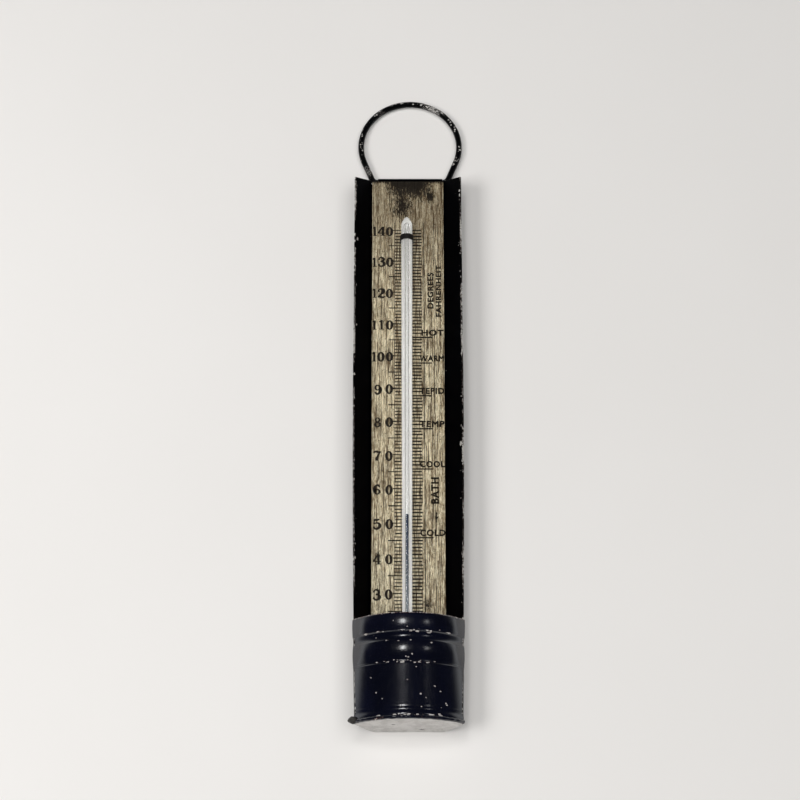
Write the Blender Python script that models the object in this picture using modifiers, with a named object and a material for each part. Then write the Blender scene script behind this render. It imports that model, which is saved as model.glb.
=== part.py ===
"""Bath thermometer: a mercury tube on a brass scale, in a tin trough with a bulb cup and a hanging ring.

The thermometer lies on its back. +X runs across the scale, +Y along it towards the hanging ring, and +Z out
of its face. The origin is the middle of the flat back. Dimensions are in millimetres, and at() turns them
into metres.
"""

import math

import bmesh
import bpy
from mathutils import Vector

MM = 0.001

# The trough: a flat back with two splayed flanks, folded from one tin sheet
TIN = 0.5
FOOT_Y = -132.8
TOP_Y = 130.3
NOTCH_Z = 5.0  # the ring's ends pass through a notch between the back and here
NOTCH_EDGE = 0.4
NOTCH_TOP_Y = 131.9
TIP_TOP_Y = 128.9
BACK_HALF = 14.3
FLANK_HALF = 25.0
FLANK_Z = 14.0
FOLD_R = 1.2
PINCH_FROM_Y = 40.0  # below here the flanks close in, to meet the narrower cup
PINCH = 2.2  # how far each flank has closed in at the foot

# The hanging ring: a D of wire whose straight leg turns in a rolled sleeve at the top
RING_X = 1.1
HINGE_Y = 132.1
HINGE_Z = 2.1
WIRE_R = 1.4
RING_R = 23.45
RING_RISE = 19.65  # from the leg to the centre of the round
RING_END = math.radians(22)  # where the round turns into its straight sides, below its widest line
CORNER = 0.3  # the share of each straight side that the bend into the leg takes up
LEG_HALF = 14.4
SLEEVE_HALF = 13.6
SLEEVE_R = 2.05
SLEEVE_TIN = 0.3

# The brass scale
PLATE_TOP_Y = 131.3
PLATE_FOOT_Y = -91.5
PLATE_TOP_HALF = 16.85
PLATE_FOOT_HALF = 16.3
PLATE_Z = 4.7
PLATE_T = 0.7

# The glass tube, its bulb and the mercury, all turned about one axis
TUBE_X = -0.55
TUBE_Z = 8.3
TUBE_TOP_R = 2.6
TUBE_FOOT_R = 2.1
BORE_R = 0.95
TIP_Y = 111.4
BORE_TOP_Y = 107.2
TUBE_FOOT_Y = -93.5
TIP_LENGTH = 5.0
BULB_R = 4.7
BULB_FOOT_Y = -121.0
NECK_LENGTH = 1.2
SHOULDER_LENGTH = 7.3
BULB_END = 8.0  # the length of the bulb's rounded end
GLASS = 0.6
THREAD_R = 0.62
READING_Y = -37.3  # the mercury's level, at 52 degrees
MENISCUS_LENGTH = 1.6
FIT = 0.3  # the gap left between pieces that touch

# The straps that tie the tube to the scale
STRAP_WIDTH = 2.0
STRAP_T = 0.4
STRAP_TAB = 3.0
UPPER_STRAP_Y = 99.3
LOWER_STRAP_Y = -85.8

# The cup: an arched front sheet closed by a base plate
CUP_RIM_Y = -87.7
COLLAR_Y = -95.7  # the collar's lower edge
BEAD_Y = -99.9  # where the groove ends and the bead starts
WALL_Y = -109.2
FLARE_Y = -128.5
CUP_TOP_Z = 25.0
CUP_FOOT_Z = 22.4
BASE_T = 0.6
SEAM_HEIGHT = 2.2
CUP_EDGE_Z = 15.1  # where the arched front meets the flanks' tips
CUP_ZONES = (  # from, to and how many rows of faces shape each zone
    (FOOT_Y, FLARE_Y, 2),
    (FLARE_Y, WALL_Y, 3),
    (WALL_Y, BEAD_Y, 5),
    (BEAD_Y, COLLAR_Y, 4),
    (COLLAR_Y, CUP_RIM_Y, 4),
)

JAPAN = (0.012, 0.012, 0.018)
WORN_JAPAN = (0.02, 0.019, 0.022)
BRASS = (0.52, 0.45, 0.32)
CLEAR_GLASS = (0.82, 0.86, 0.86)
OPAL = (0.86, 0.87, 0.87)
MERCURY = (0.3, 0.33, 0.42)
IRON = (0.05, 0.045, 0.04)
TIN_GREY = (0.45, 0.45, 0.46)
SOLDER = (0.5, 0.48, 0.44)


def at(x, y, z):
    return Vector((x, y, z)) * MM


def empty_scene():
    for obj in list(bpy.data.objects):
        bpy.data.objects.remove(obj)
    collections = []
    for name in ("bath_thermometer", "cutters"):
        collection = bpy.data.collections.new(name)
        bpy.context.scene.collection.children.link(collection)
        collections.append(collection)
    collections[1].hide_render = True
    return collections


PARTS, CUTTERS = empty_scene()


def finish_of(name, colour, roughness, metallic=0.0):
    """One Principled material for each finish, shared by the pieces that have it."""
    found = bpy.data.materials.get(name)
    if found:
        return found
    material = bpy.data.materials.new(name)
    material.use_nodes = True
    shader = material.node_tree.nodes["Principled BSDF"]
    shader.inputs["Base Color"].default_value = (*colour, 1.0)
    shader.inputs["Roughness"].default_value = roughness
    shader.inputs["Metallic"].default_value = metallic
    return material


def japan():
    return finish_of("japanned_tin", JAPAN, 0.22)


def place(name, data, material, location=(0.0, 0.0, 0.0)):
    obj = bpy.data.objects.new(name, data)
    obj.location = location
    data.materials.append(material)
    PARTS.objects.link(obj)
    return obj


def smooth(data, angle=35):
    data.shade_smooth()
    data.set_sharp_from_angle(angle=math.radians(angle))


def sheet(name, rows, thickness, material, face_down=False):
    """A sheet through rows of points in millimetres; the rows lie on its outer face, and it grows inwards."""
    mesh = bpy.data.meshes.new(name)
    bm = bmesh.new()
    grid = [[bm.verts.new(at(*point)) for point in row] for row in rows]
    for low, high in zip(grid, grid[1:]):
        for i in range(len(low) - 1):
            corners = [low[i], low[i + 1], high[i + 1], high[i]]
            bm.faces.new(corners[::-1] if face_down else corners)
    bm.to_mesh(mesh)
    bm.free()
    smooth(mesh)
    obj = place(name, mesh, material)
    solid = obj.modifiers.new("sheet", "SOLIDIFY")
    solid.thickness = thickness * MM
    solid.offset = -1.0
    solid.use_even_offset = True
    return obj


def turned(name, profile, material, closed=False, steps=16):
    """A piece turned about the tube's axis from (radius, y) points that run down its outer side."""
    mesh = bpy.data.meshes.new(name)
    count = len(profile)
    edges = [(i, i + 1) for i in range(count - 1)]
    if closed:
        edges.append((count - 1, 0))
    mesh.from_pydata([(r * MM, 0.0, y * MM) for r, y in profile], edges, [])
    obj = place(name, mesh, material, at(TUBE_X, 0.0, TUBE_Z))
    obj.rotation_euler.x = math.radians(-90)
    screw = obj.modifiers.new("turn", "SCREW")
    screw.steps = screw.render_steps = steps
    screw.use_merge_vertices = True
    screw.merge_threshold = 1e-5
    screw.use_smooth_shade = True
    return obj


def wire(name, points, radius, material, location=(0.0, 0.0, 0.0), cyclic=False):
    """A round wire along points in millimetres."""
    curve = bpy.data.curves.new(name, "CURVE")
    curve.dimensions = "3D"
    curve.bevel_depth = radius * MM
    curve.bevel_resolution = 2
    curve.use_fill_caps = True
    spline = curve.splines.new("POLY")
    spline.points.add(len(points) - 1)
    for node, point in zip(spline.points, points):
        node.co = (*at(*point), 1.0)
    spline.use_cyclic_u = cyclic
    return place(name, curve, material, location)


def bead_of_solder(name, centre, radii):
    mesh = bpy.data.meshes.new(name)
    bm = bmesh.new()
    bmesh.ops.create_uvsphere(bm, u_segments=14, v_segments=8, radius=1.0)
    bmesh.ops.scale(bm, vec=Vector(radii) * MM, verts=bm.verts)
    bm.to_mesh(mesh)
    bm.free()
    smooth(mesh)
    return place(name, mesh, finish_of("solder", SOLDER, 0.45, 0.7), at(*centre))


def arc(centre, radius, start, end, steps):
    """Points of an arc in a plane, from angle start to angle end, ends included."""
    angles = [start + (end - start) * i / steps for i in range(steps + 1)]
    return [(centre[0] + radius * math.cos(a), centre[1] + radius * math.sin(a)) for a in angles]


def smoothstep(t):
    t = min(max(t, 0.0), 1.0)
    return t * t * (3 - 2 * t)


def flank_half(y):
    """Half the trough's width over the flanks' tips."""
    down = max(PINCH_FROM_Y - y, 0.0) / (PINCH_FROM_Y - FOOT_Y)
    return FLANK_HALF - PINCH * down**2


def trough_section(tip_half):
    """The folded sheet's outer outline, from the left tip to the right tip, as (x, z) points."""
    slope = math.atan2(FLANK_Z, tip_half - BACK_HALF)
    reach = FOLD_R * math.tan(slope / 2)
    fold = arc((BACK_HALF - reach, FOLD_R), FOLD_R, -math.pi / 2, -math.pi / 2 + slope, 4)
    flank = [(BACK_HALF + z / math.tan(slope), z) for z in (NOTCH_Z, NOTCH_Z + NOTCH_EDGE, FLANK_Z)]
    right = fold + flank
    return [(-x, z) for x, z in reversed(right)] + right


def trough_top(z):
    """Where the trough's sheet ends at the top, at height z."""
    if z <= NOTCH_Z:
        return TOP_Y
    return NOTCH_TOP_Y + (TIP_TOP_Y - NOTCH_TOP_Y) * (z - NOTCH_Z) / (FLANK_Z - NOTCH_Z)


def make_trough():
    steps = 22
    rows = []
    for i in range(steps + 1):
        along = i / steps
        row = []
        for x, z in trough_section(flank_half(FOOT_Y + (TOP_Y - FOOT_Y) * along)):
            row.append((x, FOOT_Y + (trough_top(z) - FOOT_Y) * along, z))
        rows.append(row)
    sheet("case_trough", rows, TIN, japan(), face_down=True)


def make_ring():
    """The ring's origin is on its leg's axis, in the middle of the leg."""
    turn = arc((0.0, RING_RISE), RING_R, -RING_END, math.pi + RING_END, 44)
    start = Vector(turn[0])
    bend = Vector((start.x - start.y * math.tan(RING_END), 0.0))
    leg_end = Vector((LEG_HALF, 0.0))
    side = bend.lerp(start, CORNER)
    steps = 6
    corner = []
    for i in range(steps + 1):
        t = i / steps
        corner.append(leg_end * (1 - t) ** 2 + bend * 2 * t * (1 - t) + side * t * t)
    right = [(p.x, p.y, 0.0) for p in corner]
    left = [(-x, y, z) for x, y, z in reversed(right)]
    path = right + [(x, y, 0.0) for x, y in turn] + left
    material = finish_of("chipped_japan", WORN_JAPAN, 0.35)
    wire("hanging_ring", path, WIRE_R, material, at(RING_X, HINGE_Y, HINGE_Z), cyclic=True)


def make_sleeve():
    """The back sheet's top edge, rolled round the ring's leg; the roll's seam faces the scale."""
    roll = arc((HINGE_Y, HINGE_Z), SLEEVE_R, math.radians(205), math.radians(515), 20)
    rows = [[(RING_X + side * SLEEVE_HALF, y, z) for side in (1, -1)] for y, z in roll]
    sheet("ring_sleeve", rows, SLEEVE_TIN, japan())


def box_cutter(name, boxes):
    """A helper that holds one box for each (centre, size) pair in millimetres."""
    mesh = bpy.data.meshes.new(name)
    bm = bmesh.new()
    for centre, size in boxes:
        made = bmesh.ops.create_cube(bm, size=1.0)["verts"]
        bmesh.ops.scale(bm, vec=Vector(size) * MM, verts=made)
        bmesh.ops.translate(bm, vec=at(*centre), verts=made)
    bm.to_mesh(mesh)
    bm.free()
    cutter = bpy.data.objects.new(name, mesh)
    cutter.hide_render = True
    cutter.display_type = "WIRE"
    CUTTERS.objects.link(cutter)
    return cutter


def cut(obj, cutter):
    boolean = obj.modifiers.new("cut", "BOOLEAN")
    boolean.operation = "DIFFERENCE"
    boolean.object = cutter


def strap_radius(y):
    """The strap's outer radius where it crosses the tube at y."""
    up = (y - TUBE_FOOT_Y) / (TIP_Y - TUBE_FOOT_Y)
    return TUBE_FOOT_R + (TUBE_TOP_R - TUBE_FOOT_R) * up + 0.25 + STRAP_T


def make_plate():
    outline = [
        (-PLATE_FOOT_HALF, PLATE_FOOT_Y),
        (PLATE_FOOT_HALF, PLATE_FOOT_Y),
        (PLATE_TOP_HALF, PLATE_TOP_Y),
        (-PLATE_TOP_HALF, PLATE_TOP_Y),
    ]
    mesh = bpy.data.meshes.new("scale_plate")
    bm = bmesh.new()
    face = bm.faces.new([bm.verts.new(at(x, y, PLATE_Z)) for x, y in outline])
    raised = bmesh.ops.extrude_face_region(bm, geom=[face])["geom"]
    top = [v for v in raised if isinstance(v, bmesh.types.BMVert)]
    bmesh.ops.translate(bm, vec=at(0, 0, PLATE_T), verts=top)
    bmesh.ops.recalc_face_normals(bm, faces=bm.faces)
    bm.to_mesh(mesh)
    bm.free()
    plate = place("scale_plate", mesh, finish_of("old_brass", BRASS, 0.5, 0.6))
    slots = []
    for y in (UPPER_STRAP_Y, LOWER_STRAP_Y):
        for side in (-1, 1):
            x = TUBE_X + side * (strap_radius(y) - STRAP_T / 2)
            size = (STRAP_T + 2 * FIT, STRAP_WIDTH + 2 * FIT, 4 * PLATE_T)
            slots.append(((x, y, PLATE_Z + PLATE_T / 2), size))
    cut(plate, box_cutter("strap_slots", slots))


def make_strap(name, y):
    """A strap over the tube, through two slots in the scale and folded out behind it."""
    radius = strap_radius(y)
    tab_z = PLATE_Z - FIT
    over = arc((TUBE_X, TUBE_Z), radius, math.pi, 0.0, 12)
    path = [
        (TUBE_X - radius - STRAP_TAB, tab_z),
        (TUBE_X - radius, tab_z),
        *over,
        (TUBE_X + radius, tab_z),
        (TUBE_X + radius + STRAP_TAB, tab_z),
    ]
    rows = [[(x, y + side * STRAP_WIDTH / 2, z) for x, z in path] for side in (-1, 1)]
    sheet(name, rows, STRAP_T, finish_of("blackened_strap", IRON, 0.5, 0.5))


def make_stem():
    """The stem, with its bore open towards the bulb and a groove along its back for the opal strip."""
    outside = []
    for i in range(6):
        t = i / 5
        outside.append((TUBE_TOP_R * math.sin(math.pi / 2 * t**0.9), TIP_Y - TIP_LENGTH * t))
    outside.append((TUBE_FOOT_R, TUBE_FOOT_Y))
    bore = [(BORE_R, TUBE_FOOT_Y), (BORE_R, BORE_TOP_Y), (0.0, BORE_TOP_Y + 0.5)]
    stem = turned("glass_stem", outside + bore, finish_of("clear_glass", CLEAR_GLASS, 0.05))
    low, high = TUBE_FOOT_Y - 2, TIP_Y - 9
    middle = (TUBE_X, (low + high) / 2, TUBE_Z - 3.1)
    cut(stem, box_cutter("opal_groove", [(middle, (2.6, high - low, 3.0))]))


def make_opal_strip():
    low, high = TUBE_FOOT_Y + FIT, TIP_Y - 9 - FIT
    back_z = TUBE_Z - TUBE_FOOT_R
    rows = [[(TUBE_X + side, y, back_z + 0.2) for side in (-0.95, 0.95)] for y in (low, high)]
    sheet("opal_strip", rows, 0.35, finish_of("opal_glass", OPAL, 0.25))


def bulb_outline(neck_y, neck_r, inset):
    """The bulb's outline down from its neck, inset from the glass's outside, as (radius, y) points."""
    radius = BULB_R - inset
    shoulder_y = TUBE_FOOT_Y - NECK_LENGTH - inset / 3
    points = [(neck_r, neck_y)]
    for i in range(5):
        t = i / 4
        points.append((neck_r + (radius - neck_r) * smoothstep(t), shoulder_y - SHOULDER_LENGTH * t))
    for i in range(5):
        angle = math.pi / 2 * i / 4
        drop = (BULB_END - inset) * math.sin(angle)
        points.append((radius * math.cos(angle), BULB_FOOT_Y + BULB_END - drop))
    points[-1] = (0.0, BULB_FOOT_Y + inset)
    return points


def make_bulb():
    neck_y = TUBE_FOOT_Y - FIT
    outside = bulb_outline(neck_y, TUBE_FOOT_R, 0.0)
    inside = bulb_outline(neck_y, BORE_R, GLASS)
    turned("glass_bulb", outside + inside[::-1], finish_of("clear_glass", CLEAR_GLASS, 0.05), closed=True)


def make_mercury():
    """The bulb's fill, the thread in the bore, and the thread's head, which moves with the temperature."""
    mercury = finish_of("mercury", MERCURY, 0.12, 0.9)
    neck_y = TUBE_FOOT_Y - FIT
    fill = bulb_outline(neck_y - FIT, THREAD_R, GLASS + FIT)
    turned("bulb_mercury", [(0.0, neck_y - FIT), *fill], mercury)
    head_foot_y = READING_Y - MENISCUS_LENGTH
    thread = [
        (0.0, head_foot_y - FIT),
        (THREAD_R, head_foot_y - FIT),
        (THREAD_R, neck_y),
        (0.0, neck_y),
    ]
    turned("mercury_thread", thread, mercury, steps=12)
    dome = arc((0.0, READING_Y - THREAD_R), THREAD_R, math.pi / 2, 0.0, 4)
    head = [(max(r, 0.0), y) for r, y in dome]
    head[0] = (0.0, READING_Y)
    turned("mercury_head", [*head, (THREAD_R, head_foot_y), (0.0, head_foot_y)], mercury, steps=12)


def cup_offset(y):
    """How far the cup's front stands out from its plain wall at y: collar, groove, bead, wall and flare."""
    if y >= COLLAR_Y:
        return 0.35 + 0.4 * math.sin(math.pi * (y - COLLAR_Y) / (CUP_RIM_Y - COLLAR_Y))
    if y >= BEAD_Y:
        return 0.2 - 0.55 * math.sin(math.pi * (y - BEAD_Y) / (COLLAR_Y - BEAD_Y))
    if y >= WALL_Y:
        return 0.1 + 0.65 * math.sin(math.pi * (y - WALL_Y) / (BEAD_Y - WALL_Y))
    return 0.5 * smoothstep((FLARE_Y - y) / (FLARE_Y - FOOT_Y))


def cup_arch(y, offset, steps):
    """The cup's arched front at y, from the left flank's tip to the right one, as (x, z) points."""
    down = min(max((BEAD_Y - y) / (BEAD_Y - FOOT_Y), 0.0), 1.0)
    rise = CUP_TOP_Z + (CUP_FOOT_Z - CUP_TOP_Z) * down - CUP_EDGE_Z
    half = flank_half(y) + 0.1
    radius = (half**2 + rise**2) / (2 * rise)
    lean = math.asin(half / radius)
    centre = (0.0, CUP_EDGE_Z + rise - radius)
    return arc(centre, radius + offset, math.pi / 2 + lean, math.pi / 2 - lean, steps)


def make_cup_front():
    stations = [FOOT_Y]
    for low, high, steps in CUP_ZONES:
        stations += [low + (high - low) * (i + 1) / steps for i in range(steps)]
    rows = [[(x, y, z) for x, z in cup_arch(y, cup_offset(y), 20)] for y in stations]
    sheet("cup_front", rows, TIN, japan())


def make_base():
    """The base plate closes the trough's foot and the cup, and a folded seam runs round its arched edge."""
    margin = 0.3
    outline = trough_section(flank_half(FOOT_Y) + margin)
    arch = cup_arch(FOOT_Y, cup_offset(FOOT_Y) + margin, 20)
    points = outline + list(reversed(arch))
    mesh = bpy.data.meshes.new("base_plate")
    bm = bmesh.new()
    y = FOOT_Y - FIT
    face = bm.faces.new([bm.verts.new(at(x, y, z)) for x, z in points])
    raised = bmesh.ops.extrude_face_region(bm, geom=[face])["geom"]
    far = [v for v in raised if isinstance(v, bmesh.types.BMVert)]
    bmesh.ops.translate(bm, vec=at(0, -BASE_T, 0), verts=far)
    bmesh.ops.recalc_face_normals(bm, faces=bm.faces)
    bm.to_mesh(mesh)
    bm.free()
    place("base_plate", mesh, finish_of("bare_tin", TIN_GREY, 0.45, 0.8))
    seam_top = FOOT_Y + SEAM_HEIGHT - BASE_T
    outside = cup_offset(FOOT_Y) + FIT + TIN
    rows = [[(x, y, z) for x, z in cup_arch(FOOT_Y, outside, 20)] for y in (FOOT_Y, seam_top)]
    sheet("base_seam", rows, TIN, japan())


def make_solder():
    """Solder along the cup's two side seams, a lump at the base's left corner, and tacks under the scale."""
    grey = finish_of("solder", SOLDER, 0.45, 0.7)
    for name, side in (("left", -1), ("right", 1)):
        ends = (CUP_RIM_Y - 3.0, FOOT_Y + 4.0)
        run = [ends[0] + (ends[1] - ends[0]) * i / 6 for i in range(7)]
        path = [(side * (flank_half(y) - 1.9), y, FLANK_Z + 0.1) for y in run]
        wire(f"cup_solder_{name}", path, 0.4, grey)
        for end, y in (("top", 112.0), ("foot", -68.0)):
            bead_of_solder(f"scale_tack_{end}_{name}", (side * 14.6, y, 3.5), (0.75, 1.6, 0.75))
    lump_x = -flank_half(FOOT_Y) - 1.9
    bead_of_solder("base_solder_lump", (lump_x, FOOT_Y + 0.4, FLANK_Z - 0.4), (1.3, 1.1, 1.5))


make_trough()
make_ring()
make_sleeve()
make_plate()
make_strap("upper_strap", UPPER_STRAP_Y)
make_strap("lower_strap", LOWER_STRAP_Y)
make_stem()
make_opal_strip()
make_bulb()
make_mercury()
make_cup_front()
make_base()
make_solder()
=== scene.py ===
"""The looks of the bath thermometer: japanned tin, stained brass, glass and mercury, on a pale table.

Lengths are in millimetres in the frame of the CAD, and turn into metres in at().
"""
import math
import random

import bmesh
import bpy
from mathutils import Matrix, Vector, noise


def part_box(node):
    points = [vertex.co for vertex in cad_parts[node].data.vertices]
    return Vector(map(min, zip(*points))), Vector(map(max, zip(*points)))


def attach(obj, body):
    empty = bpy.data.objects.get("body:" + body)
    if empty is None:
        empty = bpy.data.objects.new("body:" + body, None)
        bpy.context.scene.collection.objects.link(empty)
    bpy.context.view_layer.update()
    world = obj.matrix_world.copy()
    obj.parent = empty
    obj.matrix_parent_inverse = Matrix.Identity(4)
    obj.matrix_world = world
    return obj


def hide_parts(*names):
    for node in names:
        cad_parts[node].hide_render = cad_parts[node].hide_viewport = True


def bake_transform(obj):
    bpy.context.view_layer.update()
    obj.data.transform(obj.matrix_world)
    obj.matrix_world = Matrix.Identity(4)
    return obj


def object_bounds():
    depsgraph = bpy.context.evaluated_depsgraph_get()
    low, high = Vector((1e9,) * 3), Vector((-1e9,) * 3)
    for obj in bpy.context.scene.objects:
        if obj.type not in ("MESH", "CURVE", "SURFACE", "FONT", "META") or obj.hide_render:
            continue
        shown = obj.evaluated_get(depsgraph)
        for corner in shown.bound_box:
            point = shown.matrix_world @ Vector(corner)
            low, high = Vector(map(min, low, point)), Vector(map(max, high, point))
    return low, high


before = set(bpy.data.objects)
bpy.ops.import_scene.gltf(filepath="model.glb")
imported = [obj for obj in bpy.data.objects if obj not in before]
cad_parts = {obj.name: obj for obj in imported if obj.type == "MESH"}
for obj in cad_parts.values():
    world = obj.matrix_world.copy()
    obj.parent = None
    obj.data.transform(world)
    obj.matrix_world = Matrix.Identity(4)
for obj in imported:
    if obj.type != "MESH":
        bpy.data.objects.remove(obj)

CAD_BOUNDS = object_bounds()
MM = 0.001


def at(x, y, z):
    return Vector((x, y, z)) * MM


def box_mm(node):
    """A CAD node's lowest and highest corners in millimetres."""
    low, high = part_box(node)
    return low / MM, high / MM


def centre_of(low, high):
    return (low + high) / 2


# ---- the frame's own dimensions

TROUGH_LOW, TROUGH_HIGH = box_mm("case_trough")
PLATE_LOW, PLATE_HIGH = box_mm("scale_plate")
STEM_LOW, STEM_HIGH = box_mm("glass_stem")
BULB_LOW, BULB_HIGH = box_mm("glass_bulb")
SLEEVE_LOW, SLEEVE_HIGH = box_mm("ring_sleeve")
RING_LOW, RING_HIGH = box_mm("hanging_ring")
HEAD_LOW, HEAD_HIGH = box_mm("mercury_head")

# The folded trough: a flat back, two splayed flanks and the notches that clear the ring
FOOT_Y = TROUGH_LOW.y
FLANK_Z = 14.0
FLANK_HALF = TROUGH_HIGH.x
BACK_HALF = 14.3
FOLD_R = 1.4
NOTCH_Z = 4.3
NOTCH_TOP_Y = 132.1
TIP_TOP_Y = 128.9
BACK_TOP_Y = 130.3
PINCH_FROM_Y = 40.0
PINCH = 2.2  # how far each flank's tip leans in at the foot
PINCH_LENGTH = PINCH_FROM_Y - FOOT_Y
TIN = 0.5

SCALE_Z = PLATE_HIGH.z
TUBE_X = centre_of(STEM_LOW.x, STEM_HIGH.x)
TUBE_Z = centre_of(BULB_LOW.z, BULB_HIGH.z)
TUBE_TOP_R = (STEM_HIGH.x - STEM_LOW.x) / 2
TUBE_FOOT_R = 2.1
READING_Y = HEAD_HIGH.y
THREAD_TOP_Y = box_mm("mercury_thread")[1].y

# The cup's ridges, from its rim down, and the arch of its front
CUP_RIM_Y = box_mm("cup_front")[1].y
COLLAR_Y = CUP_RIM_Y - 8.0
BEAD_Y = CUP_RIM_Y - 12.2
WALL_Y = CUP_RIM_Y - 21.5
CREASE_Y = CUP_RIM_Y - 40.4
CUP_TOP_Z = 25.0
CUP_FOOT_Z = 22.4
CUP_EDGE_Z = 13.6
BASE_FACE_Y = box_mm("base_plate")[0].y + 0.1

# Degrees along the scale: the bore narrows towards the bulb, so the degrees grow a little
MARK_140_Y = 105.18
DEGREE = 1.6084
DEGREE_GROWTH = 1.18e-4


def degree_y(degrees):
    down = 140 - degrees
    return MARK_140_Y - down * (DEGREE + DEGREE_GROWTH * down)


# ---- meshes


def smoothstep(t):
    t = min(max(t, 0.0), 1.0)
    return t * t * (3 - 2 * t)


def bell(a, b=0.0):
    """1 in the middle, falling away smoothly with the distance (a, b)."""
    return math.exp(-(a**2 + b**2))


def wave(x, y, z):
    """Smooth noise, about -1 to 1."""
    return noise.noise(Vector((x, y, z)))


def between(low, high, steps):
    return [low + (high - low) * i / steps for i in range(steps + 1)]


def arc(centre, radius, start, end, steps):
    angles = between(start, end, steps)
    return [(centre[0] + radius * math.cos(a), centre[1] + radius * math.sin(a)) for a in angles]


def circle(centre, radius, steps):
    return arc(centre, radius, 0.0, 2 * math.pi, steps)[:-1]


def weave(bm, rows, flip=False):
    """Adds four-sided faces between rows of corners."""
    for low, high in zip(rows, rows[1:]):
        for i in range(len(low) - 1):
            corners = [low[i], low[i + 1], high[i + 1], high[i]]
            bm.faces.new(corners[::-1] if flip else corners)


def skin(bm, rings, closed):
    """Adds faces between rings of corners, back round to the first ring if closed."""
    count = len(rings[0])
    for low, high in zip(rings, rings[1:] + rings[: int(closed)]):
        for i in range(count):
            j = (i + 1) % count
            corners = list(dict.fromkeys([low[i], low[j], high[j], high[i]]))
            if len(corners) > 2:
                bm.faces.new(corners)


def new_piece(name, bm, material, angle=40):
    mesh = bpy.data.meshes.new(name)
    bm.to_mesh(mesh)
    bm.free()
    mesh.shade_smooth()
    mesh.set_sharp_from_angle(angle=math.radians(angle))
    mesh.materials.append(material)
    obj = bpy.data.objects.new(name, mesh)
    bpy.context.scene.collection.objects.link(obj)
    return obj


SHEET_ROUNDING = 0.3  # of a sheet's edges, as a share of its thickness


def sheet(name, rows, thickness, material, flip=False, angle=40):
    """A sheet through rows of points in millimetres, which lie on its outer face; it grows inwards."""
    bm = bmesh.new()
    weave(bm, [[bm.verts.new(at(*point)) for point in row] for row in rows], flip)
    obj = new_piece(name, bm, material, angle)
    solid = obj.modifiers.new("sheet", "SOLIDIFY")
    solid.thickness = thickness * MM
    solid.offset = -1.0
    solid.use_even_offset = True
    rounded = obj.modifiers.new("edges", "BEVEL")
    rounded.width = thickness * SHEET_ROUNDING * MM
    rounded.segments = 2
    rounded.limit_method = "ANGLE"
    return obj


def turned(name, profile, material, steps=48, closed=False, angle=40):
    """A piece turned about the tube's axis from (radius, y) points that run down its outer side."""
    bm = bmesh.new()
    rings = []
    for r, y in profile:
        if r < 1e-6:
            rings.append([bm.verts.new(at(TUBE_X, y, TUBE_Z))] * steps)
            continue
        rings.append([bm.verts.new(at(x, y, z)) for x, z in circle((TUBE_X, TUBE_Z), r, steps)])
    skin(bm, rings, closed)
    bmesh.ops.recalc_face_normals(bm, faces=bm.faces)
    return new_piece(name, bm, material, angle)


def tube_along(name, path, radii, material, sides=20, closed=False):
    """A round tube along points in millimetres, whose radius may change from point to point."""
    bm = bmesh.new()
    count = len(path)
    points = [Vector(p) for p in path]
    rings = []
    for i, point in enumerate(points):
        after = points[(i + 1) % count] if closed or i < count - 1 else point
        before = points[i - 1] if closed or i > 0 else point
        ahead = (after - before).normalized()
        side = ahead.cross(Vector((0, 0, 1)))
        side.normalize()
        up = side.cross(ahead)
        places = [point + side * u + up * v for u, v in circle((0.0, 0.0), radii[i], sides)]
        rings.append([bm.verts.new(at(*place)) for place in places])
    skin(bm, rings, closed)
    if not closed:
        bm.faces.new(rings[0][::-1])
        bm.faces.new(rings[-1])
    bmesh.ops.recalc_face_normals(bm, faces=bm.faces)
    return new_piece(name, bm, material)


LUMP_UNEVENNESS = 0.2


def blob(name, centre, radii, material, seed, detail=4):
    """A lump of solder: a rounded solid with an uneven surface."""
    bm = bmesh.new()
    bmesh.ops.create_icosphere(bm, subdivisions=detail, radius=1.0)
    for v in bm.verts:
        push = 1 + LUMP_UNEVENNESS * noise.noise(v.co * 1.7 + Vector((seed, 3.1, 0.4)))
        push += LUMP_UNEVENNESS * 0.4 * noise.noise(v.co * 5.0 + Vector((0.3, seed, 1.4)))
        v.co = Vector(v.co[i] * radii[i] * push for i in range(3)) * MM + at(*centre)
    return new_piece(name, bm, material)


def paint(obj, name, value_at):
    """Stores a value for each point of the mesh, which its material reads."""
    attribute = obj.data.attributes.new(name, "FLOAT", "POINT")
    values = [value_at(*(v.co / MM)) for v in obj.data.vertices]
    attribute.data.foreach_set("value", values)


# ---- materials


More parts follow.
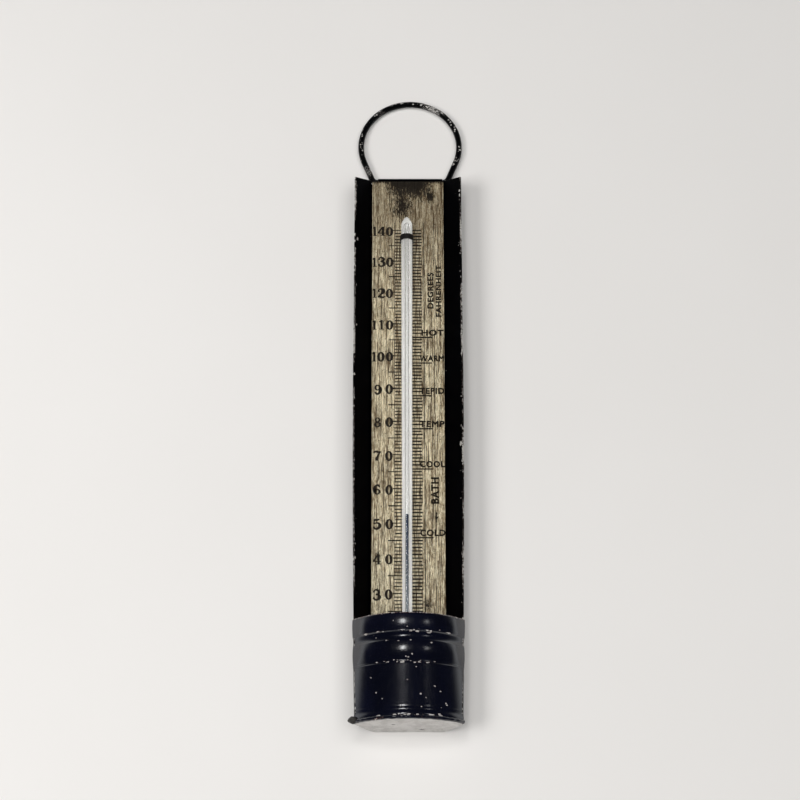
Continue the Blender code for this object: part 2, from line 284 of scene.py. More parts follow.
class Nodes:
    """The nodes of a new material or world: each call adds a node and returns its output."""

    def __init__(self, name, kind="materials"):
        self.owner = getattr(bpy.data, kind).new(name)
        self.owner.use_nodes = True
        self.tree = self.owner.node_tree
        self.coordinates = self.add("TexCoord").outputs

    def put(self, socket, value):
        if isinstance(value, bpy.types.NodeSocket):
            self.tree.links.new(value, socket)
        elif isinstance(value, tuple) and socket.type == "RGBA":
            socket.default_value = (*value, 1.0)
        else:
            socket.default_value = value

    def fill(self, node, inputs):
        """Sets or links a node's inputs; an underscore in a name stands for a space."""
        for name, value in inputs.items():
            self.put(node.inputs[name.replace("_", " ")], value)
        return node

    def add(self, kind, **inputs):
        return self.fill(self.tree.nodes.new("ShaderNode" + kind), inputs)

    def stretched(self, scale, offset=(0.0, 0.0, 0.0)):
        """Object coordinates times scale, per millimetre."""
        scale = [s / MM for s in scale]
        return self.add("Mapping", Vector=self.coordinates["Object"], Scale=scale, Location=offset).outputs[0]

    def split(self, vector):
        """A vector's parts, under "X", "Y" and "Z"."""
        return self.add("SeparateXYZ", Vector=vector).outputs

    def millimetres(self):
        return self.split(self.stretched((1.0, 1.0, 1.0)))

    def noise(self, scale, offset=(0.0, 0.0, 0.0), detail=3.0, roughness=0.55, distortion=0.0):
        node = self.add("TexNoise", Vector=self.stretched(scale, offset), Scale=1.0, Detail=detail)
        return self.fill(node, {"Roughness": roughness, "Distortion": distortion}).outputs["Fac"]

    def cells(self, scale, offset):
        return self.add("TexVoronoi", Vector=self.stretched(scale, offset), Scale=1.0).outputs["Distance"]

    def painted(self, name):
        node = self.add("Attribute")
        node.attribute_name = name
        return node.outputs["Fac"]

    def math(self, operation, a, b):
        node = self.add("Math")
        node.operation = operation
        self.put(node.inputs[0], a)
        self.put(node.inputs[1], b)
        return node.outputs[0]

    def ramp(self, value, low, high, start=0.0, end=1.0):
        """value from low to high becomes start to end, eased and held outside."""
        node = self.add("MapRange", Value=value, From_Min=low, From_Max=high, To_Min=start, To_Max=end)
        node.interpolation_type = "SMOOTHSTEP"
        return node.outputs["Result"]

    def mix(self, share, a, b, data_type="RGBA", sockets=(6, 7, 2)):
        """a where share is 0 and b where it is 1; sockets are two inputs and an output."""
        node = self.add("Mix", Factor=share)
        node.data_type = data_type
        self.put(node.inputs[sockets[0]], a)
        self.put(node.inputs[sockets[1]], b)
        return node.outputs[sockets[2]]

    def mix_value(self, share, a, b):
        return self.mix(share, a, b, "FLOAT", (2, 3, 0))

    def over(self, under, value, low, high, most, colour):
        """Lays colour over another, up to the share most, as value goes from low to high."""
        return self.mix(self.ramp(value, low, high, 0.0, most), under, colour)

    def swing(self, value, amount):
        """How far value is from its middle, times amount."""
        return self.math("MULTIPLY", self.math("SUBTRACT", value, 0.5), amount)

    def bump(self, height, distance, strength, **under):
        """Bumps distance millimetres high; Normal may link bumps that lie under them."""
        node = self.add("Bump", Height=height, Distance=distance * MM, Strength=strength, **under)
        return node.outputs["Normal"]

    def finish(self, **inputs):
        """Sets or links the shader's inputs, and returns the material."""
        self.fill(self.tree.nodes["Principled BSDF"], inputs)
        return self.owner


def japan_material(name, tint, gloss, specular, chip_size, brown=(0.05, 0.03, 0.022), flecks=(1.6, 0.66)):
    """Black paint, chipped to bare tin where "wear" is painted; flecks are tiny chips' spacing and scarcity."""
    n = Nodes(name)
    wear = n.painted("wear")
    grain = n.noise((1.1 / chip_size,) * 3, detail=5.0, roughness=0.65, distortion=0.4)
    fine = n.noise((4.0,) * 3, offset=(3.0, 1.0, 2.0), detail=3.0)
    edge = n.math("ADD", n.math("MULTIPLY", wear, 0.62), n.math("MULTIPLY", grain, 0.8))
    edge = n.math("ADD", edge, n.math("MULTIPLY", fine, 0.12))
    bare = n.ramp(edge, 0.93, 0.97)
    rim = n.ramp(edge, 0.86, 0.93)
    spacing, share = flecks
    speck = n.ramp(n.cells((1.0 / spacing,) * 3, (7.0, 2.0, 5.0)), 0.15, 0.1)
    speck = n.math("MULTIPLY", speck, n.ramp(n.noise((0.22,) * 3, (1.0, 9.0, 4.0)), share, share + 0.06))
    bare = n.math("MAXIMUM", bare, n.math("MULTIPLY", speck, 0.9))
    cloud = n.noise((0.05, 0.03, 0.05), (2.0, 5.0, 1.0), 4.0)
    paint_colour = n.mix(n.ramp(cloud, 0.3, 0.7), tuple(c * 0.45 for c in tint), tint)
    worn = n.mix(n.math("MULTIPLY", rim, 0.75), paint_colour, brown)
    metal = n.mix(n.ramp(fine, 0.35, 0.7), (0.4, 0.37, 0.34), (0.85, 0.83, 0.8))
    dust = n.noise((0.6, 0.2, 0.6), (4.0, 4.0, 9.0), 6.0, 0.7)
    worn_gloss = n.mix_value(n.ramp(dust, 0.45, 0.75), gloss, gloss + 0.07)
    roughness = n.mix_value(bare, worn_gloss, 0.42)
    peel = n.noise((0.9,) * 3, (5.0, 0.0, 0.0), 2.0)
    normal = n.bump(peel, 0.03, 0.15)
    normal = n.bump(n.math("MULTIPLY", bare, -1.0), 0.08, 0.9, Normal=normal)
    return n.finish(
        Base_Color=n.mix(bare, worn, metal),
        Metallic=n.math("MULTIPLY", bare, 0.3),
        Roughness=roughness,
        Specular_IOR_Level=specular,
        Normal=normal,
    )


def brass_material():
    """Silvered brass worn to a pale straw colour, brushed upright and spotted, with a dark stain on top."""
    n = Nodes("stained_brass")
    broad = n.noise((0.5, 0.012, 0.5), detail=4.0, roughness=0.6)
    streak = n.noise((2.2, 0.07, 1.0), (5.0, 2.0, 0.0), 5.0, 0.75)
    hair = n.noise((5.0, 0.3, 1.0), (1.0, 7.0, 0.0), 4.0, 0.75)
    blotch = n.noise((0.42, 0.2, 0.4), (8.0, 3.0, 0.0), 6.0, 0.68)
    pits = n.noise((1.6, 1.1, 1.0), (2.0, 2.0, 0.0), 5.0, 0.75)
    stain = n.painted("stain")
    flecks = n.noise((2.2, 0.6, 1.0), (4.0, 6.0, 1.0), 6.0, 0.8)
    along = n.millimetres()
    colour = n.mix(n.ramp(broad, 0.34, 0.66), (0.35, 0.265, 0.15), (0.78, 0.66, 0.43))
    grain = n.noise((1.3, 0.16, 1.0), (7.0, 3.0, 2.0), 6.0, 0.8)
    mottle = n.noise((0.9, 0.5, 1.0), (3.0, 9.0, 2.0), 6.0, 0.75)
    pale = n.math("MULTIPLY", n.ramp(along["Y"], -20.0, -80.0), n.ramp(mottle, 0.4, 0.6, 0.2, 0.9))
    pale = n.math("MULTIPLY", pale, n.ramp(along["X"], 10.0, 2.0, 0.25, 1.0))
    colour = n.mix(pale, colour, (0.7, 0.63, 0.44))
    colour = n.over(colour, grain, 0.53, 0.63, 0.8, (0.095, 0.06, 0.03))
    colour = n.over(colour, hair, 0.49, 0.6, 0.95, (0.92, 0.85, 0.62))
    colour = n.over(colour, along["Y"], 70.0, 118.0, 0.42, (0.11, 0.075, 0.04))
    colour = n.over(colour, streak, 0.49, 0.59, 0.95, (0.06, 0.036, 0.018))
    colour = n.over(colour, hair, 0.47, 0.37, 0.85, (0.085, 0.052, 0.027))
    colour = n.over(colour, blotch, 0.52, 0.66, 0.6, (0.13, 0.085, 0.045))
    colour = n.over(colour, pits, 0.56, 0.65, 0.9, (0.035, 0.021, 0.012))
    dark = n.math("ADD", stain, n.swing(flecks, 3.4))
    dark = n.math("ADD", dark, n.swing(hair, 1.4))
    dark = n.math("MULTIPLY", dark, n.ramp(stain, 0.12, 0.3))
    colour = n.over(colour, dark, 0.35, 0.7, 0.97, (0.006, 0.004, 0.003))
    rough = n.mix_value(n.ramp(streak, 0.4, 0.7), 0.42, 0.62)
    normal = n.bump(hair, 0.05, 0.6)
    normal = n.bump(pits, 0.05, 0.5, Normal=normal)
    return n.finish(Base_Color=colour, Metallic=0.15, Roughness=rough, Specular_IOR_Level=0.25, Normal=normal)


def ink_material():
    """Black wax in the stamped marks, brown and thin where it has worn out."""
    n = Nodes("stamped_black")
    worn = n.noise((0.9, 0.9, 0.9), (3.0, 8.0, 0.0), 6.0, 0.7)
    patch = n.noise((0.12, 0.06, 0.1), (6.0, 1.0, 0.0), 3.0)
    colour = n.mix(n.ramp(worn, 0.42, 0.68), (0.004, 0.003, 0.002), (0.028, 0.018, 0.01))
    colour = n.over(colour, patch, 0.55, 0.8, 0.5, (0.045, 0.028, 0.016))
    return n.finish(Base_Color=colour, Roughness=n.mix_value(worn, 0.5, 0.8), Normal=n.bump(worn, 0.03, 0.5))


def glass_material():
    """Old drawn glass, faintly rippled and smeared."""
    n = Nodes("drawn_glass")
    ripple = n.noise((0.5, 0.02, 0.5), detail=2.0)
    smear = n.noise((0.3, 0.1, 0.3), (4.0, 2.0, 6.0), 5.0, 0.7)
    return n.finish(
        Base_Color=(0.985, 0.99, 0.99),
        Roughness=n.ramp(smear, 0.45, 0.8, 0.04, 0.1),
        Transmission_Weight=1.0,
        IOR=1.47,
        Normal=n.bump(ripple, 0.002, 0.15),
    )


def opal_material():
    """White enamel behind the bore, greyer at the top; its glow stands for light caught in the glass."""
    n = Nodes("opal_white")
    milk = n.noise((0.6, 0.02, 0.6), (1.0, 4.0, 2.0), 3.0)
    colour = n.mix(n.ramp(milk, 0.35, 0.7), (0.8, 0.79, 0.765), (0.9, 0.89, 0.87))
    along = n.millimetres()
    colour = n.over(colour, along["Y"], 60.0, 108.0, 0.5, (0.5, 0.49, 0.46))
    rough = n.mix_value(milk, 0.25, 0.4)
    return n.finish(Base_Color=colour, Roughness=rough, Emission_Color=colour, Emission_Strength=0.3)


def mercury_material():
    """Dark blue mercury, paler near the cup, where the silver is a painted highlight."""
    n = Nodes("mercury")
    tarnish = n.noise((0.8, 0.12, 0.8), (2.0, 3.0, 2.0), 4.0)
    colour = n.mix(n.ramp(tarnish, 0.4, 0.7), (0.035, 0.05, 0.095), (0.1, 0.125, 0.18))
    along = n.millimetres()
    # painted highlight: the mercury turns silver towards the cup
    colour = n.over(colour, along["Y"], -46.0, -86.0, 0.8, (0.4, 0.44, 0.47))
    return n.finish(Base_Color=colour, Metallic=0.45, Roughness=n.mix_value(tarnish, 0.32, 0.5))


def metal_material(name, light, dark, metallic, roughness, scale=1.0):
    """Dull tinned plate, solder or blackened iron: two tones, fine scratches and specks of dirt."""
    n = Nodes(name)
    cloud = n.noise((0.25 * scale,) * 3, (3.0, 1.0, 6.0), 5.0, 0.65)
    scratch = n.noise((3.5 * scale, 0.25 * scale, 0.6 * scale), (9.0, 2.0, 1.0), 3.0)
    dirt = n.noise((1.3 * scale,) * 3, (0.0, 6.0, 2.0), 6.0, 0.7)
    colour = n.mix(n.ramp(cloud, 0.35, 0.68), light, dark)
    colour = n.over(colour, scratch, 0.6, 0.75, 0.35, light)
    colour = n.over(colour, dirt, 0.6, 0.72, 0.8, (0.05, 0.035, 0.028))
    marked = n.math("ADD", n.painted("stain"), n.swing(dirt, 1.2))
    colour = n.over(colour, marked, 0.45, 0.8, 0.9, (0.02, 0.016, 0.015))
    rough = n.mix_value(cloud, roughness, roughness + 0.2)
    normal = n.bump(dirt, 0.05, 0.4)
    return n.finish(Base_Color=colour, Metallic=metallic, Roughness=rough, Normal=normal)


TROUGH_PAINT = japan_material("trough_japan", (0.0005, 0.0005, 0.0012), 0.34, 0.01, chip_size=0.8)
CUP_PAINT = japan_material("cup_japan", (0.0018, 0.0026, 0.011), 0.17, 1.0, 0.6, brown=(0.15, 0.065, 0.048))
RING_PAINT = japan_material(
    "ring_japan", (0.001, 0.001, 0.0015), 0.3, 0.12, 0.45, brown=(0.02, 0.014, 0.012), flecks=(1.9, 0.4)
)
BRASS = brass_material()
INK = ink_material()
GLASS = glass_material()
OPAL = opal_material()
MERCURY = mercury_material()
BLACK_IRON = metal_material("blackened_iron", (0.012, 0.01, 0.009), (0.004, 0.004, 0.004), 0.0, 0.5)
DULL_TIN = metal_material("dull_tin", (0.66, 0.64, 0.62), (0.5, 0.48, 0.46), 0.25, 0.4)
SOLDER = metal_material("old_solder", (0.42, 0.39, 0.35), (0.2, 0.17, 0.145), 0.6, 0.4, scale=1.6)
BLACKENED_SOLDER = metal_material(
    "blackened_solder", (0.06, 0.056, 0.052), (0.004, 0.004, 0.005), 0.3, 0.3, scale=2.2
)


def stand_for(obj, slot, *nodes, body="case"):
    """obj rides on a body and stands for CAD nodes, which it hides; slot is not used."""
    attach(obj, body)
    if nodes:
        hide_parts(*nodes)
    return obj


# ---- the trough


def flank_half(y):
    """Half the trough's width between its flanks' tips at y."""
    down = max(PINCH_FROM_Y - y, 0.0) / PINCH_LENGTH
    return FLANK_HALF - PINCH * down**2


def trough_section(tip_half, fold_steps=8, flank_steps=26):
    """The folded sheet's outer outline from the left tip to the right one, as (x, z) points."""
    slope = math.atan2(FLANK_Z, tip_half - BACK_HALF)
    reach = FOLD_R * math.tan(slope / 2)
    fold = arc((BACK_HALF - reach, FOLD_R), FOLD_R, -math.pi / 2, -math.pi / 2 + slope, fold_steps)
    start = fold[-1]
    heights = between(start[1], NOTCH_Z, 5)[1:] + between(NOTCH_Z + 0.2, FLANK_Z, flank_steps)
    flank = [(BACK_HALF + z / math.tan(slope), z) for z in heights]
    middle = [(x, 0.0) for x in between(-8.0, 8.0, 4)]
    right = fold + flank
    return [(-x, z) for x, z in reversed(right)] + middle + right


def trough_top(z):
    """Where the trough's sheet ends at the top, at height z: a notch in each corner clears the ring."""
    if z <= NOTCH_Z:
        return BACK_TOP_Y
    return NOTCH_TOP_Y + (TIP_TOP_Y - NOTCH_TOP_Y) * (z - NOTCH_Z) / (FLANK_Z - NOTCH_Z)


def flank_wave(side, y):
    """How far a thin flank's tip has been knocked in or out."""
    return 0.16 * wave(side * 4.3, y * 0.045, 1.0) + 0.05 * wave(y * 0.3, side, 2.0)


CHIP_REACH = 1.8


def flaked(distance, fade=1.4):
    """How bare the tin is at a distance from a chip's middle, counted in the chip's own size."""
    return smoothstep((CHIP_REACH - distance) / fade)


CHIPS_PER_FLANK = 34


def flank_chips():
    """Places just inside each flank's tip where the paint has flaked off, as (side, y, z, size, length)."""
    luck = random.Random(5)
    chips = []
    for side in (-1, 1):
        for _ in range(CHIPS_PER_FLANK):
            size = 0.17 + 0.36 * luck.random() ** 3
            y = luck.uniform(CUP_RIM_Y, TIP_TOP_Y)
            z = FLANK_Z - 0.1 - 1.5 * luck.random() ** 2
            chips.append((side, y, z, size, luck.uniform(1, 3)))
    return chips


TROUGH_ROWS = 440


def make_trough():
    chips = flank_chips()
    rows = []
    for along in between(0.0, 1.0, TROUGH_ROWS):
        y_here = FOOT_Y + (TIP_TOP_Y - FOOT_Y) * along
        row = []
        for x, z in trough_section(flank_half(y_here)):
            top = trough_top(z)
            y = FOOT_Y + (top - FOOT_Y) * along
            side = math.copysign(1.0, x)
            knock = flank_wave(side, y) * (z / FLANK_Z) ** 2 * smoothstep((CUP_RIM_Y + 30 - y) / -30)
            row.append((x + side * min(knock, 0.0), y, z))
        rows.append(row)
    trough = sheet("tin_trough", rows, TIN, TROUGH_PAINT, flip=True)

    def wear(x, y, z):
        patch = wave(math.copysign(3.0, x), y * 0.055, 0.0)
        tip = smoothstep((z - 12.2) / 1.6) * (0.72 + 0.42 * patch)
        top = smoothstep((y - trough_top(z) + 0.8) / 0.7) * 0.55
        corner = 0.28 if z < 1.0 and abs(x) > BACK_HALF - 1.5 else 0.0
        chip = 0.0
        for side, chip_y, chip_z, size, long in chips if z > 11 else ():
            if side * x > 0:
                chip = max(chip, flaked(math.hypot((y - chip_y) / long, z - chip_z) / size))
        return max(tip, top, corner, chip, 0.0)

    paint(trough, "wear", wear)
    stand_for(trough, "japanned_tin", "case_trough")


SLEEVE_LIP = 1.7  # how far the rolled edge reaches past the CAD sleeve at each end


def make_sleeve():
    """The back's top edge, rolled once round the ring's leg."""
    centre = centre_of(SLEEVE_LOW.y, SLEEVE_HIGH.y), centre_of(SLEEVE_LOW.z, SLEEVE_HIGH.z)
    radius = (SLEEVE_HIGH.y - SLEEVE_LOW.y) / 2
    roll = arc(centre, radius, math.radians(-140), math.radians(175), 44)
    lead = [(BACK_TOP_Y - 0.1, 0.3)]
    ends = SLEEVE_HIGH.x + SLEEVE_LIP, SLEEVE_LOW.x - SLEEVE_LIP
    rows = [[(x, y, z) for x in between(*ends, 60)] for y, z in lead + roll]
    sleeve = sheet("rolled_sleeve", rows, 0.3, TROUGH_PAINT)
    paint(sleeve, "wear", lambda x, y, z: 0.3 + 0.25 * wave(x * 0.3, y, z))
    stand_for(sleeve, "japanned_tin", "ring_sleeve")


# ---- the ring


RING_LEG_HALF = 14.4
RING_CHIPS = 54


def make_ring():
    """The D of round wire: a straight leg in the sleeve, two bent corners and a long arc."""
    wire_r = (RING_HIGH.z - RING_LOW.z) / 2
    hinge_y = centre_of(SLEEVE_LOW.y, SLEEVE_HIGH.y)
    hinge_z = centre_of(RING_LOW.z, RING_HIGH.z)
    middle_x = centre_of(RING_LOW.x, RING_HIGH.x)
    ring_r = (RING_HIGH.x - RING_LOW.x) / 2 - wire_r
    rise = RING_HIGH.y - wire_r - ring_r - hinge_y
    end = math.radians(22)
    turn = arc((0.0, rise), ring_r, -end, math.pi + end, 420)
    start = Vector(turn[0])
    bend = Vector((start.x - start.y * math.tan(end), 0.0))
    leg_end = Vector((RING_LEG_HALF, 0.0))
    side = bend.lerp(start, 0.22)
    corner = [leg_end * (1 - t) ** 2 + bend * 2 * t * (1 - t) + side * t * t for t in between(0.0, 1.0, 14)]
    corner += [side.lerp(start, t) for t in between(0.0, 1.0, 6)[1:-1]]
    right = [(p.x, p.y) for p in corner]
    leg = [(x, 0.0) for x in between(-leg_end.x, leg_end.x, 24)][1:-1]
    outline = right + turn + [(-x, y) for x, y in reversed(right)] + leg
    path = [(middle_x + x, hinge_y + y, hinge_z) for x, y in outline]
    radii = [wire_r * (0.97 + 0.03 * noise.noise(Vector(p) * 0.4)) for p in path]
    ring = tube_along("wire_ring", path, radii, RING_PAINT, sides=28, closed=True)
    top = Vector((middle_x, hinge_y + rise))
    luck = random.Random(31)
    chips = []
    for _ in range(RING_CHIPS):
        place = Vector(path[luck.randrange(len(turn))])
        place += Vector((luck.uniform(-0.7, 0.7), luck.uniform(-0.7, 0.7), 1.2))
        chips.append((place, luck.uniform(0.2, 0.5)))

    def wear(x, y, z):
        nearest = min((Vector((x, y, z)) - place).length / size for place, size in chips)
        if nearest < CHIP_REACH:
            return flaked(nearest, fade=1.2)
        angle = math.degrees(math.atan2(y - top.y, x - top.x))
        rubbed = bell((angle - 62) / 20)
        shoulder = 0.35 * bell((angle - 128) / 10) + 0.4 * bell((angle + 145) / 12)
        upper = smoothstep((z - hinge_z + 0.3) / 0.8)
        return 0.33 + (0.5 * rubbed + shoulder) * (0.35 + 0.65 * upper)

    paint(ring, "wear", wear)
    stand_for(ring, "chipped_japan", "hanging_ring", body="ring")


# ---- the scale


PLATE_FOOT_HALF = 16.3


def plate_half(y):
    """Half the plate's width at y."""
    top_half = (PLATE_HIGH.x - PLATE_LOW.x) / 2
    up = y - PLATE_LOW.y
    return PLATE_FOOT_HALF + (top_half - PLATE_FOOT_HALF) * up / (PLATE_HIGH.y - PLATE_LOW.y)


# Stains on the plate: how dark, x, y, half width and half height
STAINS = (
    (0.85, -2.5, PLATE_HIGH.y - 13.0, 6.0, 8.0),
    (1.1, 10.4, PLATE_HIGH.y - 8.0, 2.4, 4.0),
    (0.65, 8.5, -78.0, 2.2, 4.0),
    (0.75, -13.3, -55.5, 1.6, 2.4),
)


def make_plate():
    rows = []
    for y in between(PLATE_LOW.y, PLATE_HIGH.y, 180):
        half = plate_half(y) + 0.12 * wave(1.0, y * 0.08, 0.0)
        half = min(half, plate_half(y))
        row = []
        for x in between(-1.0, 1.0, 44):
            sag = 0.05 * wave(x * 1.5, y * 0.03, 5.0)
            row.append((x * half, y, SCALE_Z - 0.04 + min(sag, 0.02)))
        rows.append(row)
    plate = sheet("brass_scale", rows, PLATE_HIGH.z - PLATE_LOW.z - 0.1, BRASS)

    def stain(x, y, z):
        down = PLATE_HIGH.y - y
        centre = math.exp(-(((x - 0.5) / 11.0) ** 4)) * bell(down / 10.0) * 1.15
        spots = [dark * bell((x - at_x) / wide, (y - at_y) / high) for dark, at_x, at_y, wide, high in STAINS]
        return max(centre, 0.9 * math.exp(-down / 1.3), *spots)

    paint(plate, "stain", stain)
    stand_for(plate, "old_brass", "scale_plate")


MARK_HEIGHT = 0.03
MARK_DEPTH = 0.15


def stamp(name, outlines):
    """A piece of flat filled shapes, each a ring of (x, y) points, raised a hair above the scale."""
    bm = bmesh.new()
    for outline in outlines:
        face = bm.faces.new([bm.verts.new(at(x, y, SCALE_Z - MARK_DEPTH)) for x, y in outline])
        if runs_left(outline):
            face.normal_flip()
        raised = bmesh.ops.extrude_face_region(bm, geom=[face])["geom"]
        top = [v for v in raised if isinstance(v, bmesh.types.BMVert)]
        bmesh.ops.translate(bm, vec=at(0, 0, MARK_DEPTH + MARK_HEIGHT), verts=top)
    bmesh.ops.recalc_face_normals(bm, faces=bm.faces)
    stand_for(new_piece(name, bm, INK), "old_brass")


def runs_left(outline):
    """Says whether an outline runs anticlockwise."""
    return sum(x0 * y1 - x1 * y0 for (x0, y0), (x1, y1) in zip(outline, outline[1:] + outline[:1])) > 0


INK_SPREAD = 0.045  # thickens the numerals' strokes


def block(x0, x1, y0, y1):
    return [(x0, y0), (x1, y0), (x1, y1), (x0, y1)]


def bar(x0, x1, y, width):
    return block(x0, x1, y - width / 2, y + width / 2)


def stroke(*points):
    """The outline of a pen stroke: a smooth line through points of (x, y, thickness)."""
    line, thick = [], []
    count = len(points)
    for i in range(count - 1):
        p = [Vector(points[max(min(k, count - 1), 0)][:2]) for k in (i - 1, i, i + 1, i + 2)]
        start, end = points[i][2], points[i + 1][2]
        for t in between(0.0, 1.0, 6)[: None if i == count - 2 else -1]:
            curve = p[1] * 2 + (p[2] - p[0]) * t + (p[0] * 2 - p[1] * 5 + p[2] * 4 - p[3]) * t**2
            curve += (p[1] * 3 - p[0] - p[2] * 3 + p[3]) * t**3
            line.append(curve / 2)
            thick.append(INK_SPREAD + 1.1 * (start + (end - start) * t))
    left, right = [], []
    for i, point in enumerate(line):
        ahead = line[min(i + 1, len(line) - 1)] - line[max(i - 1, 0)]
        side = Vector((-ahead.y, ahead.x)).normalized() * thick[i] / 2
        left.append(tuple(point + side))
        right.append(tuple(point - side))
    return right + left[::-1]


def dot(x, y, radius):
    return circle((x, y), radius, 14)


# Book-face numerals in a box 1 high: thick main strokes, thin turns, small round ends
BOX_WIDTH = 0.66
THICK, THIN = 0.25, 0.13


def oval(cx, cy, rx, ry, thick=THICK, thin=THIN):
    """The four quarters of an oval ring, thick at its sides and thin at its top and foot."""
    quarters = []
    for q in range(4):
        angles = between(q * math.pi / 2, (q + 1) * math.pi / 2, 8)
        outer = [(cx + rx * math.cos(a), cy + ry * math.sin(a)) for a in angles]
        inner = [(cx + (rx - thick) * math.cos(a), cy + (ry - thin) * math.sin(a)) for a in angles]
        quarters.append(outer + inner[::-1])
    return quarters


NUMERALS = {
    "0": oval(0.33, 0.5, 0.33, 0.5),
    "1": [
        bar(0.22, 0.44, 0.5, 0.98),
        stroke((0.08, 0.8, 0.04), (0.18, 0.84, 0.07), (0.28, 0.97, 0.09)),
        bar(0.1, 0.56, 0.03, 0.06),
    ],
    "2": [
        stroke(
            (0.08, 0.72, 0.06), (0.14, 0.9, 0.06), (0.33, 0.965, THIN), (0.53, 0.84, THICK),
            (0.5, 0.62, THICK), (0.3, 0.38, 0.1), (0.06, 0.1, 0.06),
        ),
        stroke(
            (0.05, 0.1, 0.1), (0.2, 0.15, 0.16), (0.4, 0.07, 0.17), (0.56, 0.08, 0.12), (0.62, 0.24, 0.05)
        ),
        dot(0.12, 0.72, 0.095),
    ],
    "3": [
        stroke(
            (0.08, 0.78, 0.06), (0.16, 0.92, 0.06), (0.33, 0.965, THIN), (0.52, 0.83, 0.18),
            (0.47, 0.62, 0.14), (0.26, 0.535, 0.06),
        ),
        stroke(
            (0.24, 0.535, 0.06), (0.47, 0.49, 0.14), (0.57, 0.28, THICK), (0.46, 0.08, 0.14),
            (0.26, 0.035, THIN), (0.07, 0.17, 0.06),
        ),
        dot(0.12, 0.79, 0.09),
        dot(0.11, 0.2, 0.095),
    ],
    "4": [
        bar(0.35, 0.57, 0.5, 0.98),
        stroke((0.42, 0.97, 0.08), (0.22, 0.62, 0.1), (0.03, 0.3, 0.09)),
        bar(0.0, 0.66, 0.29, 0.1),
        bar(0.24, 0.68, 0.04, 0.08),
    ],
    "5": [
        stroke((0.14, 0.95, 0.06), (0.13, 0.74, 0.06), (0.12, 0.5, 0.06)),
        stroke((0.13, 0.91, 0.14), (0.34, 0.88, 0.15), (0.56, 0.96, 0.06)),
        stroke(
            (0.13, 0.5, 0.05), (0.33, 0.61, 0.08), (0.54, 0.5, 0.17), (0.57, 0.27, THICK),
            (0.43, 0.07, 0.13), (0.24, 0.035, THIN), (0.07, 0.16, 0.06),
        ),
        dot(0.11, 0.18, 0.095),
    ],
    "6": [
        stroke(
            (0.54, 0.83, 0.06), (0.4, 0.965, THIN), (0.2, 0.85, 0.14), (0.1, 0.55, THICK), (0.12, 0.27, 0.17)
        ),
        dot(0.51, 0.82, 0.09),
        *oval(0.33, 0.3, 0.29, 0.3, thick=0.2, thin=0.11),
    ],
    "7": [
        stroke(
            (0.07, 0.76, 0.05), (0.09, 0.9, 0.1), (0.28, 0.93, 0.15), (0.45, 0.86, 0.15), (0.62, 0.93, 0.08)
        ),
        stroke((0.6, 0.92, 0.06), (0.42, 0.6, 0.09), (0.31, 0.3, 0.16), (0.29, 0.02, 0.2)),
    ],
    "8": [
        *oval(0.33, 0.755, 0.25, 0.245, thick=0.17, thin=0.1),
        *oval(0.33, 0.275, 0.32, 0.275, thick=0.21, thin=0.11),
    ],
}
NUMERALS["9"] = [[(BOX_WIDTH - x, 1.0 - y) for x, y in outline] for outline in NUMERALS["6"]]

NUMERAL_HEIGHT = 4.8
NUMERAL_STRETCH = 1.1  # the numerals are cut a little wide
NUMERAL_DROP = 0.5  # they sit a little below their marks
UNITS_X = -8.55
TENS_X = {2: -13.9, 3: -12.4}
HUNDREDS_X = -15.7


def make_numerals():
    """The numbers of the tens, each digit struck a little out of true."""
    luck = random.Random(7)
    outlines = []
    for degrees in range(30, 150, 10):
        text = str(degrees)
        columns = [UNITS_X, TENS_X[len(text)], HUNDREDS_X]
        for digit, column in zip(reversed(text), columns):
            height = NUMERAL_HEIGHT * luck.uniform(0.98, 1.03)
            width = height * NUMERAL_STRETCH * (BOX_WIDTH if digit != "1" else 0.5)
            scale_x = height * (NUMERAL_STRETCH if digit != "1" else 0.95)
            x0 = column - width / 2 + luck.uniform(-0.12, 0.12)
            y0 = degree_y(degrees) - NUMERAL_DROP - height / 2 + luck.uniform(-0.12, 0.12)
            lean = luck.uniform(-0.02, 0.02)
            for outline in NUMERALS[digit]:
                outlines.append([(x0 + (u + lean * v) * scale_x, y0 + v * height) for u, v in outline])
    low_edge = -plate_half(0.0) + 0.1
    outlines = [[(max(x, low_edge), y) for x, y in outline] for outline in outlines]
    stamp("scale_numerals", outlines)


LADDER_LEFT = (-6.05, -2.5)
LADDER_RIGHT = (1.4, 6.35)
TEN_EXTRA = 0.75
FIVES_X = -8.9
WORD_LINE_X = 11.0
WORDS = (("HOT", 106), ("WARM", 98), ("TEPID", 88), ("TEMP", 78), ("COOL", 66), ("COLD", 46))


